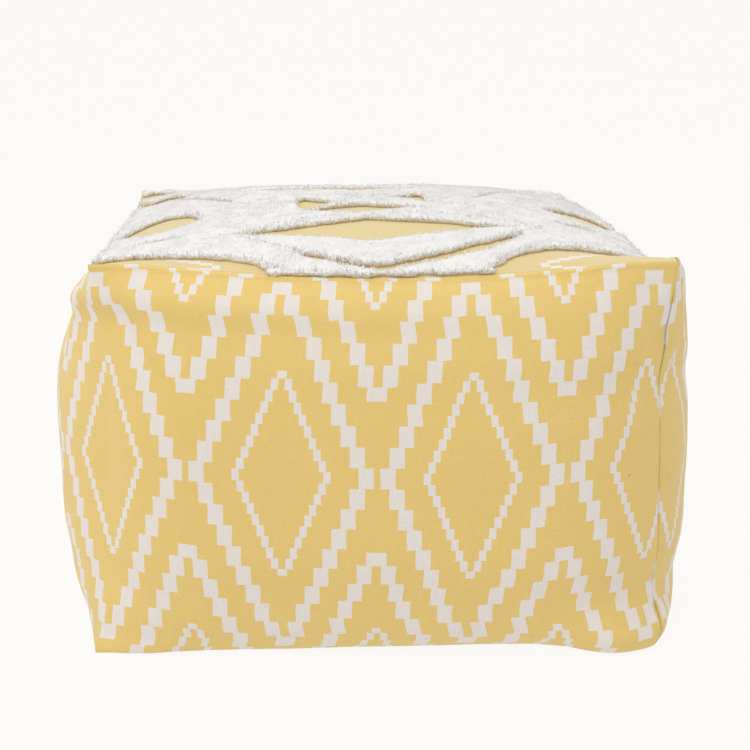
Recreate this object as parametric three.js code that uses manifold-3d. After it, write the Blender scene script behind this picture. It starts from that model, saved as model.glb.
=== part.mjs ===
// Upholstered square pouf: a filled cube-like cushion in a printed side band, with a
// crowned top panel that carries raised bands of cut pile, and a plain flat base panel.
// Millimetres, +Z up, front towards -Y, origin at the middle of the base on the floor.
import * as THREE from 'three';
import Module from 'manifold-3d';

const wasm = await Module();
wasm.setup();

// ---------------------------------------------------------------- driving dimensions
const PANEL = 500;          // side of the square top and base panels, corner to corner
const HEIGHT = 350;         // floor to the top corners
const CLOTH = 2;            // thickness of the top and base panels
const GAP = 0.4;            // clearance between neighbouring pieces
const CROWN = 26;           // rise of the filled top over its corners
const SKEW = 20;            // lean of the back of the top towards the left
const FULL_POWER = 2.96;    // how flat the middle of the side profile is
const PILE = 6.8;           // height of the cut pile over the top panel
const TONGUE_DROP = 3.5;    // how much further the front middle of the pile reaches, over the front seam
const TONGUE_HALF = 105;    // half width of that part
const PARTING = 0.8;        // bare line round a band where the piles close over it
const BAND = 366;           // height of the cut side band, seam to seam
const HALF = PANEL / 2, LOW = CLOTH + GAP;

// The four sides: how far each stands out, how softly it turns in at the top and at the base (0 is
// square), how far its top and base seams bow out, and the curve of its two ends in plan.
const SIDES = [
  { name: 'front', cut: 528.0, bulge: 44.0, topR: 0.83, lowR: 0.60, bowTop: 6.4, bowLow: -0.4, start: 7.4, end: 5.4 },
  { name: 'right', cut: 510.0, bulge: 53.9, topR: 0.37, lowR: 0.24, bowTop: 2.0, bowLow: -2.0, start: 4.4, end: 5.0 },
  { name: 'back', cut: 495.3, bulge: 45.0, topR: 0.75, lowR: 0.60, bowTop: 8.0, bowLow: -2.0, start: 5.0, end: 5.0 },
  { name: 'left', cut: 510.0, bulge: 66.2, topR: 1.17, lowR: 0.35, bowTop: 2.0, bowLow: -2.0, start: 5.0, end: 4.5 },
];
const RIGHT_SOFTER = 0.46;  // how much softer the right side turns in at the top behind its front end

// Depth of the top seam below its corners, share of the side over which it sags, power of the curve.
const SAGS = [[12, 0.84, 2], null, [6, 0.86, 2], [10, 1.0, 8]];
// The same along the right side: share of the way back, depth.
const RIGHT_SAG = [[0, 0], [0.05, 0.3], [0.12, 17], [0.2, 16], [0.4, 8], [0.7, 5], [0.94, 5], [1, 0]];

// How far each upright corner stands out: height share, distance. Front left, front right, back right, back left.
const CORNERS = [
  [[0, 7.2], [0.06, 0.5], [0.2, -5.3], [0.45, -9.1], [0.7, -10.9], [0.85, -11.3], [0.93, -1.4], [1, -3.8]],
  [[0, -1.5], [0.045, 3.4], [0.14, -2.8], [0.25, -0.3], [0.4, -1.9], [0.6, -3.2], [0.7, -5.6], [0.8, -2.0], [0.92, -0.2], [1, 0]],
  [[0, 3], [0.5, -6], [1, 0]],
  [[0, 3], [0.5, -6], [1, 0]],
];

// Full places of the sides: side, height, middle along it and half width, middle up it and half width.
const LUMPS = [
  [0, 34.9, 0.9, 0.22, 0.0, 0.09], [0, 9.7, -0.9, 0.2, 0.0, 0.08],
  [1, 8.5, -0.9, 0.12, 0.98, 0.10], [1, -2.2, -0.6, 0.4, 0.8, 0.14], [3, 11.9, 0.8, 0.18, 0.9, 0.10],
];
// Top corners: which one in x and y, drawn in, lowered, over this radius.
const TOP_ROUND = [[-1, -1, -1.0, 0.5, 30], [-1, 1, 0, -3.0, 90]];

// Soft folds: side, course (s from -1 to 1 along the side, w from 0 at the floor to 1), depth, half width.
const FOLD_LEAST = 14;      // narrower folds are drawn this wide
const FOLDS = [
  [0, [[-0.96, 0.97], [-0.90, 0.89], [-0.82, 0.79], [-0.73, 0.72], [-0.60, 0.68]], 3.2, 4.5],
  [0, [[1.0, 0.86], [0.90, 0.78], [0.80, 0.60]], 2.2, 17],
  [0, [[1.0, 0.165], [0.90, 0.19], [0.80, 0.26]], 2.2, 8],
  [0, [[-1.0, 0.30], [-0.90, 0.22], [-0.84, 0.12]], 1.6, 11],
  [1, [[-1.0, 0.165], [-0.92, 0.13], [-0.80, 0.10]], 3.0, 9],
  [1, [[-1.0, 0.66], [-0.92, 0.70], [-0.84, 0.80]], 2.0, 9],
  [1, [[0.98, 0.92], [0.80, 0.80], [0.66, 0.70]], 4.0, 16],
  [2, [[-0.98, 0.95], [-0.80, 0.80], [-0.60, 0.70]], 4.0, 14],
  [2, [[0.99, 0.10], [0.86, 0.20], [0.72, 0.32]], 3.0, 14],
  [3, [[0.97, 0.95], [0.86, 0.84], [0.70, 0.76]], 3.0, 12],
  [3, [[-0.98, 0.90], [-0.82, 0.78], [-0.66, 0.66]], 4.0, 15],
];

// Bare places in the pile: centre, half width to the left and right, half depth to the front and
// back, power of the outline (1 a straight diamond, 2 an oval), turn in plan.
const WINDOWS = [
  { name: 'diamond_front', cx: -4, cy: -157, left: 121, right: 121, front: 34, back: 32, power: 1.0, turn: 0.06 },
  { name: 'diamond_back', cx: -4, cy: 66, left: 116, right: 116, front: 34, back: 34, power: 1.0, turn: 0.06 },
  { name: 'heart_mid', cx: -8, cy: -85, left: 48, right: 48, front: 22, back: 20, power: 1.3, turn: 0.08 },
  { name: 'heart_back', cx: -8, cy: 125, left: 48, right: 48, front: 22, back: 20, power: 1.3, turn: 0.08 },
  { name: 'left_point_mid', cx: -66, cy: -53, left: 4, right: 38, front: 39, back: 40, power: 1.0, turn: 0 },
  { name: 'right_point_mid', cx: 57, cy: -25, left: 30, right: 4, front: 34, back: 34, power: 1.0, turn: 0 },
  { name: 'left_point_back', cx: -66, cy: 157, left: 4, right: 38, front: 39, back: 40, power: 1.0, turn: 0 },
  { name: 'right_point_back', cx: 57, cy: 185, left: 30, right: 4, front: 34, back: 34, power: 1.0, turn: 0 },
  { name: 'front_left', cx: -262, cy: -262, left: 160, right: 160, front: 38, back: 43, power: 3.0, turn: 0 },
  { name: 'front_right', cx: 278, cy: -262, left: 182, right: 182, front: 38, back: 80, power: 2.0, turn: 0 },
  { name: 'left_mid', cx: -200, cy: -82, left: 38, right: 38, front: 36, back: 60, power: 1.6, turn: 0.08 },
  { name: 'right_mid', cx: 214, cy: -50, left: 38, right: 38, front: 34, back: 30, power: 1.6, turn: 0.08 },
  { name: 'left_back', cx: -206, cy: 128, left: 34, right: 34, front: 34, back: 50, power: 1.6, turn: 0.08 },
  { name: 'right_back', cx: 214, cy: 172, left: 34, right: 34, front: 36, back: 40, power: 1.6, turn: 0.08 },
  { name: 'corner_left', cx: -230, cy: 222, left: 28, right: 28, front: 26, back: 20, power: 1.3, turn: 0 },
  { name: 'nick_left', cx: -194, cy: -158, left: 14, right: 14, front: 5, back: 6, power: 1.5, turn: 0.1 },
  { name: 'nick_right', cx: 199, cy: -108, left: 14, right: 14, front: 5, back: 6, power: 1.5, turn: 0.1 },
];

// The tufted bands that stand apart from the field, with the same columns.
const RINGS = [
  { name: 'front', cx: -2, cy: -158, left: 125, right: 150, front: 82, back: 46, power: 1.3, turn: 0.08 },
  { name: 'mid', cx: 6, cy: -80, left: 58, right: 80, front: 36, back: 52, power: 1.0, turn: 0.08 },
  { name: 'back', cx: 6, cy: 130, left: 58, right: 80, front: 36, back: 52, power: 1.0, turn: 0.08 },
];

// Thin bare lines: the outline each follows, its half towards the front (-1) or back (1), and its
// width along x: [x, width].
const LINES = [
  { along: RINGS[0], half: -1, widths: [[-80, 0.8], [-57, 5], [-20, 4], [8, 6], [53, 10], [100, 13], [124, 6], [136, 0.8]] },
  { along: { cx: -262, cy: -89, left: 168, right: 168, front: 100, back: 262, power: 1.1, turn: 0.08 }, half: 1,
    widths: [[-262, 26], [-240, 20], [-212, 9], [-150, 8], [-138, 5], [-130, 1.5]] },
  { along: { cx: 262, cy: -47, left: 168, right: 168, front: 100, back: 262, power: 1.1, turn: 0.08 }, half: 1,
    widths: [[104, 1.5], [140, 7], [200, 8], [240, 8], [262, 8]] },
];
// How far the pile keeps from the seams along the left and right: [y, distance].
const INSET_LEFT = [[-250, 2], [-150, 1], [-60, 1], [20, 2], [150, 2], [250, 1]];
const INSET_RIGHT = [[-250, 22], [-232, 12], [-200, 3], [-150, 0], [250, 0]];

// ---------------------------------------------------------------- shape of the filled pouf
const clamp = (t, lo, hi) => Math.min(hi, Math.max(lo, t));
const smooth = (t) => { const c = clamp(t, 0, 1); return c * c * (3 - 2 * c); };

// A table read with straight or with eased steps between its rows.
function table(rows, x, ease) {
  if (x <= rows[0][0]) return rows[0][1];
  for (let i = 1; i < rows.length; i++) {
    if (x <= rows[i][0]) {
      const t = (x - rows[i - 1][0]) / (rows[i][0] - rows[i - 1][0]);
      return rows[i - 1][1] + (rows[i][1] - rows[i - 1][1]) * (ease ? smooth(t) : t);
    }
  }
  return rows[rows.length - 1][1];
}

function sag(k, s) {
  if (k === 1) return table(RIGHT_SAG, (1 + clamp(s, -1, 1)) / 2, true);
  const [depth, share, power] = SAGS[k];
  return depth * Math.max(0, 1 - Math.abs(s / share) ** power);
}

function foldDepth(k, s, w) {
  const x = s * SIDES[k].cut / 2, y = w * BAND;
  let d = 0;
  for (const [side, course, depth, width] of FOLDS) {
    if (side !== k) continue;
    let best = Infinity, share = 0;
    for (let i = 1; i < course.length; i++) {
      const ax = course[i - 1][0] * SIDES[k].cut / 2, ay = course[i - 1][1] * BAND;
      const dx = course[i][0] * SIDES[k].cut / 2 - ax, dy = course[i][1] * BAND - ay;
      const t = clamp(((x - ax) * dx + (y - ay) * dy) / (dx * dx + dy * dy), 0, 1);
      const far = Math.hypot(x - ax - t * dx, y - ay - t * dy);
      if (far < best) { best = far; share = (i - 1 + t) / (course.length - 1); }
    }
    d += depth * (1 - 0.6 * share) * Math.exp(-((best / Math.max(width, FOLD_LEAST)) ** 2));
  }
  return d * clamp(10 * Math.min(w, 1 - w), 0, 1);
}

// A point of one side by itself, before the lean: side 0..3 (front, right, back, left), s along it, w up it.
function sidePoint(k, s, w, drop = 0, folds = false) {
  const p = SIDES[k];
  const topR = p.topR + (k === 1 ? RIGHT_SOFTER * smooth((s + 0.75) / 0.6) : 0);
  const full = Math.pow(1 - Math.abs(1 - 2 * clamp(w, 0, 1)) ** FULL_POWER, w > 0.5 ? topR : p.lowR);
  const m = smooth((1 + s) / 2);
  const c = HALF + table(CORNERS[k], w, true) * (1 - m) + table(CORNERS[(k + 1) % 4], w, true) * m;
  const power = 2 + ((s < 0 ? p.start : p.end) - 2) * full;
  let out = c + (p.bowLow + (p.bowTop - p.bowLow) * w + p.bulge * full) * (1 - Math.abs(s) ** power);
  for (const [side, high, s0, ws, w0, ww] of LUMPS) {
    if (side === k) out += high * Math.exp(-(((s - s0) / ws) ** 2) - ((w - w0) / ww) ** 2);
  }
  if (folds) out -= foldDepth(k, s, w);
  const along = s * c;
  const z = LOW + w * (HEIGHT - sag(k, s) - drop - LOW);
  const xy = [[along, -out], [out, along], [-along, out], [-out, -along]][k];
  return [xy[0], xy[1], z];
}

// The same, with the ends of the sides drawn together at the corners.
function wallPoint(k, s, w, drop, folds) {
  const p = sidePoint(k, s, w, drop, folds);
  const pull = 0.5 * smooth((Math.abs(s) - 0.75) / 0.25);
  if (pull > 0) {
    const own = sidePoint(k, Math.sign(s), w), next = sidePoint((k + (s > 0 ? 1 : 3)) % 4, -Math.sign(s), w);
    p[0] += pull * (next[0] - own[0]);
    p[1] += pull * (next[1] - own[1]);
  }
  return p;
}
const seam = (k, s, w) => wallPoint(k, s, w);

// Plan position in a panel over the square -1..1, spanned between the four seams at height share w.
function panelPlan(u, v, w) {
  const F = seam(0, u, w), B = seam(2, -u, w), R = seam(1, v, w), L = seam(3, -v, w);
  const corner = (a, b) => {
    const p = b < 0 ? seam(0, a, w) : seam(2, -a, w), q = a > 0 ? seam(1, b, w) : seam(3, -b, w);
    return [(p[0] + q[0]) / 2, (p[1] + q[1]) / 2];
  };
  const C = [corner(-1, -1), corner(1, -1), corner(-1, 1), corner(1, 1)];
  return [0, 1].map((i) => ((1 - v) * F[i] + (1 + v) * B[i] + (1 - u) * L[i] + (1 + u) * R[i]) / 2
    - ((1 - u) * (1 - v) * C[0][i] + (1 + u) * (1 - v) * C[1][i] + (1 - u) * (1 + v) * C[2][i] + (1 + u) * (1 + v) * C[3][i]) / 4);
}

function panelZ(u, v) {
  const side = u > 0 ? 2 + 1.5 * clamp((v + 0.9) / 0.6, 0, 1) : 2 + 2 * smooth((v + 0.1) / 0.7);
  const dome = CROWN * (1 - Math.abs(u) ** side) * (1 - v * v);
  const ends = (v < 0 ? sag(0, u) : sag(2, -u)) * Math.abs(v) ** 4;
  return HEIGHT - ends - (u > 0 ? sag(1, v) : sag(3, -v)) * Math.abs(u) ** 4 + dome;
}

// The lean (the back of the top stands a little to the left), and the top corners drawn in or raised.
const lean = ([x, y, z]) => [x - SKEW * ((y + HALF) / PANEL) * (z / HEIGHT), y, z];
function placed([x, y, z]) {
  for (const [sx, sy, drawn, down, radius] of TOP_ROUND) {
    const g = Math.exp(-((x - sx * HALF) ** 2 + (y - sy * HALF) ** 2 + (z - HEIGHT + 5) ** 2) / radius ** 2);
    x -= sx * 0.7 * drawn * g;
    y -= sy * 0.7 * drawn * g;
    z -= down * g;
  }
  return lean([x, y, z]);
}

// ---------------------------------------------------------------- mesh helpers
const STEPS = 18;                                   // divisions along each side
const ROWS = 14;                                    // divisions up the wall
const stop = (i) => Math.sin((Math.PI / 2) * (2 * i / STEPS - 1));   // closer near the corners

function geometry(verts, tris) {
  const g = new THREE.BufferGeometry();
  g.setAttribute('position', new THREE.Float32BufferAttribute(verts.flat(), 3));
  g.setIndex(tris.flat());
  g.computeVertexNormals();
  return g;
}

function manifold(verts, tris) {
  return new wasm.Manifold(new wasm.Mesh({
    numProp: 3,
    vertProperties: new Float32Array(verts.flat()),
    triVerts: new Uint32Array(tris.flat()),
  }));
}

function fromManifold(m) {
  const mesh = m.getMesh();
  const g = new THREE.BufferGeometry();
  g.setAttribute('position', new THREE.BufferAttribute(new Float32Array(mesh.vertProperties), 3));
  g.setIndex(new THREE.BufferAttribute(new Uint32Array(mesh.triVerts), 1));
  g.computeVertexNormals();
  return g;
}

// Triangles of an (n+1) by (m+1) grid whose vertex numbers are given by at(i, j), facing +Z.
function gridTriangles(n, m, at) {
  const t = [];
  for (let j = 0; j < m; j++) {
    for (let i = 0; i < n; i++) {
      const a = at(i, j), b = at(i + 1, j), c = at(i + 1, j + 1), d = at(i, j + 1);
      if ((i < n / 2) === (j < m / 2)) t.push([a, b, c], [a, c, d]);
      else t.push([a, b, d], [b, c, d]);
    }
  }
  return t;
}
const flip = (t) => t.map(([a, b, c]) => [a, c, b]);

// Rim column number of a grid boundary vertex, counted round from the front-left corner.
function rim(i, j, n) {
  if (j === 0) return i;
  if (i === n) return n + j;
  if (j === n) return 2 * n + (n - i);
  return (3 * n + (n - j)) % (4 * n);
}

// A closed sheet between two grids of the same layout.
function sheetSolid(n, top, bottom) {
  const verts = [], at = (layer) => (i, j) => layer * (n + 1) * (n + 1) + j * (n + 1) + i;
  for (const f of [bottom, top]) {
    for (let j = 0; j <= n; j++) for (let i = 0; i <= n; i++) verts.push(f(i, j));
  }
  const lo = at(0), hi = at(1);
  const tris = [...gridTriangles(n, n, hi), ...flip(gridTriangles(n, n, lo))];
  const edge = [];
  for (let i = 0; i < n; i++) edge.push([i, 0]);
  for (let j = 0; j < n; j++) edge.push([n, j]);
  for (let i = n; i > 0; i--) edge.push([i, n]);
  for (let j = n; j > 0; j--) edge.push([0, j]);
  edge.forEach(([i, j], q) => {
    const [i2, j2] = edge[(q + 1) % edge.length];
    tris.push([lo(i, j), lo(i2, j2), hi(i2, j2)], [lo(i, j), hi(i2, j2), hi(i, j)]);
  });
  return { verts, tris };
}

// ---------------------------------------------------------------- the pieces
// The filled body in its side band.
function bodySolid() {
  const around = 4 * STEPS;
  const verts = [], tris = [];
  for (let j = 0; j <= ROWS; j++) {
    const w = 0.5 - 0.5 * Math.cos(Math.PI * j / ROWS);
    for (let q = 0; q < around; q++) {
      verts.push(placed(wallPoint(Math.floor(q / STEPS), stop(q % STEPS), w, LOW, true)));
    }
  }
  const wall = (q, j) => j * around + (q % around);
  for (let j = 0; j < ROWS; j++) {
    for (let q = 0; q < around; q++) {
      tris.push([wall(q, j), wall(q + 1, j), wall(q + 1, j + 1)], [wall(q, j), wall(q + 1, j + 1), wall(q, j + 1)]);
    }
  }
  // crowned top, on the same rim
  const inner = verts.length;
  for (let j = 1; j < STEPS; j++) {
    for (let i = 1; i < STEPS; i++) {
      const u = stop(i), v = stop(j);
      verts.push(placed([...panelPlan(u, v, 1), panelZ(u, v) - LOW]));
    }
  }
  const topAt = (i, j) => (i === 0 || j === 0 || i === STEPS || j === STEPS)
    ? wall(rim(i, j, STEPS), ROWS) : inner + (j - 1) * (STEPS - 1) + (i - 1);
  tris.push(...gridTriangles(STEPS, STEPS, topAt));
  // flat bottom
  const hub = verts.length;
  verts.push([0, 0, LOW]);
  for (let q = 0; q < around; q++) tris.push([hub, wall(q + 1, 0), wall(q, 0)]);
  return { verts, tris };
}

// A sheet grid over the top panel, raised or lowered, whose rim is the top seam.
const overPanel = (lift) => (i, j) => {
  const u = stop(i), v = stop(j);
  return placed([...panelPlan(u, v, 1), panelZ(u, v) + lift]);
};

function topPanelSolid() {
  return sheetSolid(STEPS, overPanel(0), overPanel(-CLOTH));
}

// The base panel is flat, with the outline of the bottom seam.
function basePanelSolid() {
  const around = 4 * STEPS, verts = [], tris = [];
  for (const z of [0, CLOTH]) {
    for (let q = 0; q < around; q++) {
      const [x, y] = placed(wallPoint(Math.floor(q / STEPS), stop(q % STEPS), 0));
      verts.push([x, y, z]);
    }
  }
  verts.push([0, 0, 0], [0, 0, CLOTH]);
  for (let q = 0; q < around; q++) {
    const k = (q + 1) % around;
    tris.push([2 * around, k, q], [2 * around + 1, around + q, around + k], [q, k, around + k], [q, around + k, around + q]);
  }
  return { verts, tris };
}

// The layer of pile over the whole panel, on the panel's own grid and a little past its edge.
function pileLayer() {
  const n = STEPS + 2, past = 12;
  const at = (lift) => (i, j) => {
    const ii = clamp(i - 1, 0, STEPS), jj = clamp(j - 1, 0, STEPS);
    const u = stop(ii), v = stop(jj);
    const [x, y] = panelPlan(u, v, 1);
    const dx = i === 0 ? -past : i === n ? past : 0, dy = j === 0 ? -past : j === n ? past : 0;
    const [X, Y, Z] = placed([x, y, panelZ(u, v) + lift]);
    return [X + dx, Y + dy, Z];
  };
  const { verts, tris } = sheetSolid(n, at(PILE), at(GAP));
  return manifold(verts, tris);
}

// An upright prism over a closed plan outline that is star-shaped about (cx, cy).
const PRISM_LOW = HEIGHT - 70, PRISM_HIGH = HEIGHT + 70;
const shift = ([x, y]) => { const p = lean([x, y, HEIGHT + 8]); return [p[0], p[1]]; };
function prism(points, cx, cy) {
  const n = points.length;
  const verts = [], tris = [];
  for (const z of [PRISM_LOW, PRISM_HIGH]) for (const p of points) verts.push([...shift(p), z]);
  verts.push([...shift([cx, cy]), PRISM_LOW], [...shift([cx, cy]), PRISM_HIGH]);
  for (let i = 0; i < n; i++) {
    const k = (i + 1) % n;
    tris.push([2 * n, k, i], [2 * n + 1, n + i, n + k], [i, k, n + k], [i, n + k, n + i]);
  }
  return manifold(verts, tris);
}

// A window or band outline, grown by a distance.
function ovalPrism(o, grow = 0) {
  const points = [], n = o.left > 60 ? 36 : 20;
  const least = Math.min(o.left, o.right);
  for (let i = 0; i < n; i++) {
    const t = (2 * Math.PI * i) / n, c = Math.cos(t), s = Math.sin(t);
    const b = s < 0 ? o.front : o.back, a = c < 0 ? o.left : o.right;
    const k = 1 + grow / Math.min(least, b);
    const e = 2 / o.power;
    const dx = k * a * Math.sign(c) * Math.abs(c) ** e;
    points.push([o.cx + dx, o.cy + k * b * Math.sign(s) * Math.abs(s) ** e + o.turn * dx]);
  }
  return prism(points, o.cx, o.cy);
}

// An upright strip along the front or back half of an outline, as wide as its table says.
function linePrism({ along: o, half, widths }) {
  const b = half < 0 ? o.front : o.back;
  const first = widths[0][0], last = widths[widths.length - 1][0], n = 12;
  const inner = [], outer = [];
  const curve = (x, grow) => {
    const a = x < o.cx ? o.left : o.right, k = 1 + grow / Math.min(a, b);
    const rest = Math.max(0, k ** o.power - (Math.abs(x - o.cx) / a) ** o.power);
    return o.cy + half * b * rest ** (1 / o.power) + o.turn * (x - o.cx);
  };
  for (let i = 0; i <= n; i++) {
    const x = first + (last - first) * i / n;
    inner.push([x, curve(x, -0.2)]);
    outer.push([x, curve(x, table(widths, x, false))]);
  }
  const front = half < 0 ? outer : inner, back = half < 0 ? inner : outer;
  const verts = [], tris = [], m = n + 1;
  for (const z of [PRISM_LOW, PRISM_HIGH]) for (const row of [front, back]) for (const p of row) verts.push([...shift(p), z]);
  const F = (i) => i, B = (i) => m + i, FT = (i) => 2 * m + i, BT = (i) => 3 * m + i;
  const quad = (a, c, d, e) => tris.push([a, c, d], [a, d, e]);
  for (let i = 0; i < n; i++) {
    quad(FT(i), FT(i + 1), BT(i + 1), BT(i));
    quad(F(i), B(i), B(i + 1), F(i + 1));
    quad(F(i), F(i + 1), FT(i + 1), FT(i));
    quad(B(i + 1), B(i), BT(i), BT(i + 1));
  }
  quad(B(0), F(0), FT(0), BT(0));
  quad(F(n), B(n), BT(n), FT(n));
  return manifold(verts, tris);
}

// Outline of all the pile: just inside the seams, and over the seam at the front middle.
function pileOutline() {
  const points = [], n = 24;
  for (let i = 0; i <= n; i++) {
    const x = -HALF + 2 + (PANEL - 4) * i / n;
    points.push([x, -(HALF + 2 + TONGUE_DROP * clamp((TONGUE_HALF + 10 - Math.abs(x)) / 12, 0, 1))]);
  }
  for (let i = 1; i <= n; i++) { const y = -HALF + PANEL * i / n; points.push([HALF - table(INSET_RIGHT, y, false), y]); }
  for (let i = 1; i < n; i++) points.push([HALF - PANEL * i / n, HALF]);
  for (let i = 0; i < n; i++) { const y = HALF - PANEL * i / n; points.push([-HALF + table(INSET_LEFT, y, false), y]); }
  return prism(points, 0, 0);
}

function tuftSolids() {
  let mat = pileLayer().intersect(pileOutline());
  for (const o of WINDOWS) mat = mat.subtract(ovalPrism(o));
  const [front, mid, back] = RINGS;
  let field = mat;
  for (const r of RINGS) field = field.subtract(ovalPrism(r, PARTING));
  for (const line of LINES) field = field.subtract(linePrism(line));
  return {
    tuft_field: field,
    tuft_ring_front: mat.intersect(ovalPrism(front)).subtract(ovalPrism(mid, PARTING)),
    tuft_ring_mid: mat.intersect(ovalPrism(mid)),
    tuft_ring_back: mat.intersect(ovalPrism(back)),
  };
}

// ---------------------------------------------------------------- the object
const printed = () => new THREE.MeshStandardMaterial({ color: 0xe1c479, roughness: 0.92, metalness: 0 });
const plain = () => new THREE.MeshStandardMaterial({ color: 0xd9bd76, roughness: 0.94, metalness: 0 });
const yarn = () => new THREE.MeshStandardMaterial({ color: 0xecebe8, roughness: 0.98, metalness: 0 });

const pouf = new THREE.Group();
function piece(name, geom, material) {
  const mesh = new THREE.Mesh(geom, material);
  mesh.name = name;
  pouf.add(mesh);
}

const body = bodySolid(), topPanel = topPanelSolid(), basePanel = basePanelSolid();
piece('side_band_body', geometry(body.verts, body.tris), printed());
piece('top_panel', geometry(topPanel.verts, topPanel.tris), printed());
piece('base_panel', geometry(basePanel.verts, basePanel.tris), plain());
for (const [name, solid] of Object.entries(tuftSolids())) piece(name, fromManifold(solid), yarn());

export default pouf;
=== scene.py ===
import math

import bpy
import numpy as np
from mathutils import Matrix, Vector


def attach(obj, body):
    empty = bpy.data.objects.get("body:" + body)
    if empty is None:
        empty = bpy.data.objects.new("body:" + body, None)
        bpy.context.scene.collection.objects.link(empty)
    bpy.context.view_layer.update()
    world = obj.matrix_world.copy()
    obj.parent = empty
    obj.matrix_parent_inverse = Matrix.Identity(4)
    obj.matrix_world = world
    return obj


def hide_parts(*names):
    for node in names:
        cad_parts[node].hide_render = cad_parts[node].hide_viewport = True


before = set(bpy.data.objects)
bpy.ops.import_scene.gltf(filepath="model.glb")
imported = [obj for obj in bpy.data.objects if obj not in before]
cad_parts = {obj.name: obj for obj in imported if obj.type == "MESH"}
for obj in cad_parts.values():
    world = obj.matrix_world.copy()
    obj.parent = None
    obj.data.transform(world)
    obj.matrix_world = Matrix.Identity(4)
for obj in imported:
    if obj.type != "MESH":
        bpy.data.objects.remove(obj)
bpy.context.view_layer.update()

MM = 0.001

# ------------------------------------------------------------------ named sizes, in millimetres
PANEL, HEIGHT, CLOTH, GAP = 500.0, 350.0, 2.0, 0.3
HALF = PANEL / 2
LOW = CLOTH + GAP
CROWN, SKEW = 26.0, 20.0
FULL_POWER = 2.96
PILE, MAT = 6.5, 5.7
TONGUE_DROP, TONGUE_HALF = 3.5, 105.0
BAND = 366.0                            # height of the cut side band, seam to seam
LENGTHS = (510.0, 495.3, 510.0, 528.0)  # its lengths along the right, back, left and front
AROUND = sum(LENGTHS)

SIDES = [  # bulge, rounding above and below, bow of the top and base seams, edge power at start and end
    dict(bulge=44.0, top_r=0.83, low_r=0.60, bow_top=6.4, bow_low=-0.4, start=7.4, end=5.4),   # front
    dict(bulge=53.9, top_r=0.37, low_r=0.24, bow_top=2.0, bow_low=-2.0, start=4.4, end=5.0),   # right
    dict(bulge=45.0, top_r=0.75, low_r=0.60, bow_top=8.0, bow_low=-2.0, start=5.0, end=5.0),   # back
    dict(bulge=66.2, top_r=1.17, low_r=0.35, bow_top=2.0, bow_low=-2.0, start=5.0, end=4.5),   # left
]
RIGHT_SOFTER = 0.46     # how much rounder the right side turns in at the top behind its front end
SAGS = [(12.0, 0.84, 2), None, (6.0, 0.86, 2), (10.0, 1.0, 8)]   # depth of the top seam below its corners, reach, power
RIGHT_SAG = [(0, 0), (0.05, 0.3), (0.12, 17), (0.2, 16), (0.4, 8), (0.7, 5), (0.94, 5), (1, 0)]   # the same along the right side
CORNERS = [  # (height share, how far the corner stands out): front left, front right, back right, back left
    [(0, 7.2), (0.06, 0.5), (0.2, -5.3), (0.45, -9.1), (0.7, -10.9), (0.85, -11.3), (0.93, -1.4), (1, -3.8)],
    [(0, -1.5), (0.045, 3.4), (0.14, -2.8), (0.25, -0.3), (0.4, -1.9), (0.6, -3.2), (0.7, -5.6), (0.8, -2.0), (0.92, -0.2),
     (1, 0.0)],
    [(0, 3.0), (0.5, -6.0), (1, 0.0)],
    [(0, 3.0), (0.5, -6.0), (1, 0.0)],
]
LUMPS = [  # side, height, middle along it and half width, middle up it and half width
    (0, 34.9, 0.9, 0.22, 0.0, 0.09), (0, 9.7, -0.9, 0.2, 0.0, 0.08),
    (1, 8.5, -0.9, 0.12, 0.98, 0.10), (1, -2.2, -0.6, 0.4, 0.8, 0.14), (3, 11.9, 0.8, 0.18, 0.9, 0.10),
]
TOP_ROUND = [(-1, -1, -1.0, 0.5, 30.0), (-1, 1, 0.0, -3.0, 90.0)]   # a top corner: drawn in, down, over this radius

FOLDS = [  # side, course of the fold, depth, half width, cloth taken up in it
    (0, [(-0.96, 0.97), (-0.90, 0.89), (-0.82, 0.79), (-0.73, 0.72), (-0.60, 0.68)], 3.2, 4.5, 6.0),
    (0, [(1.0, 0.86), (0.90, 0.78), (0.80, 0.60)], 2.2, 17.0, 0.0),
    (0, [(1.0, 0.165), (0.90, 0.19), (0.80, 0.26)], 2.2, 8.0, 2.0),
    (0, [(1.0, 0.12), (0.93, 0.07), (0.86, 0.05)], 1.4, 6.0, 0.0),
    (0, [(-1.0, 0.30), (-0.90, 0.22), (-0.84, 0.12)], 1.6, 11.0, 0.0),
    (0, [(0.98, 0.97), (0.88, 0.93), (0.80, 0.92)], 1.5, 6.0, 0.0),
    (1, [(-1.0, 0.165), (-0.92, 0.13), (-0.80, 0.10)], 3.0, 9.0, 3.0),
    (1, [(-1.0, 0.66), (-0.92, 0.70), (-0.84, 0.80)], 2.0, 9.0, 2.0),
    (1, [(-0.98, 0.97), (-0.86, 0.90), (-0.74, 0.80)], 2.4, 9.0, 2.0),
    (1, [(0.98, 0.92), (0.80, 0.80), (0.66, 0.70)], 4.0, 16.0, 3.0),
    (2, [(-0.98, 0.95), (-0.80, 0.80), (-0.60, 0.70)], 4.0, 14.0, 4.0),
    (2, [(0.99, 0.10), (0.86, 0.20), (0.72, 0.32)], 3.0, 14.0, 0.0),
    (3, [(0.97, 0.95), (0.86, 0.84), (0.70, 0.76)], 3.0, 12.0, 3.0),
    (3, [(-0.98, 0.90), (-0.82, 0.78), (-0.66, 0.66)], 4.0, 15.0, 3.0),
]

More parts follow.
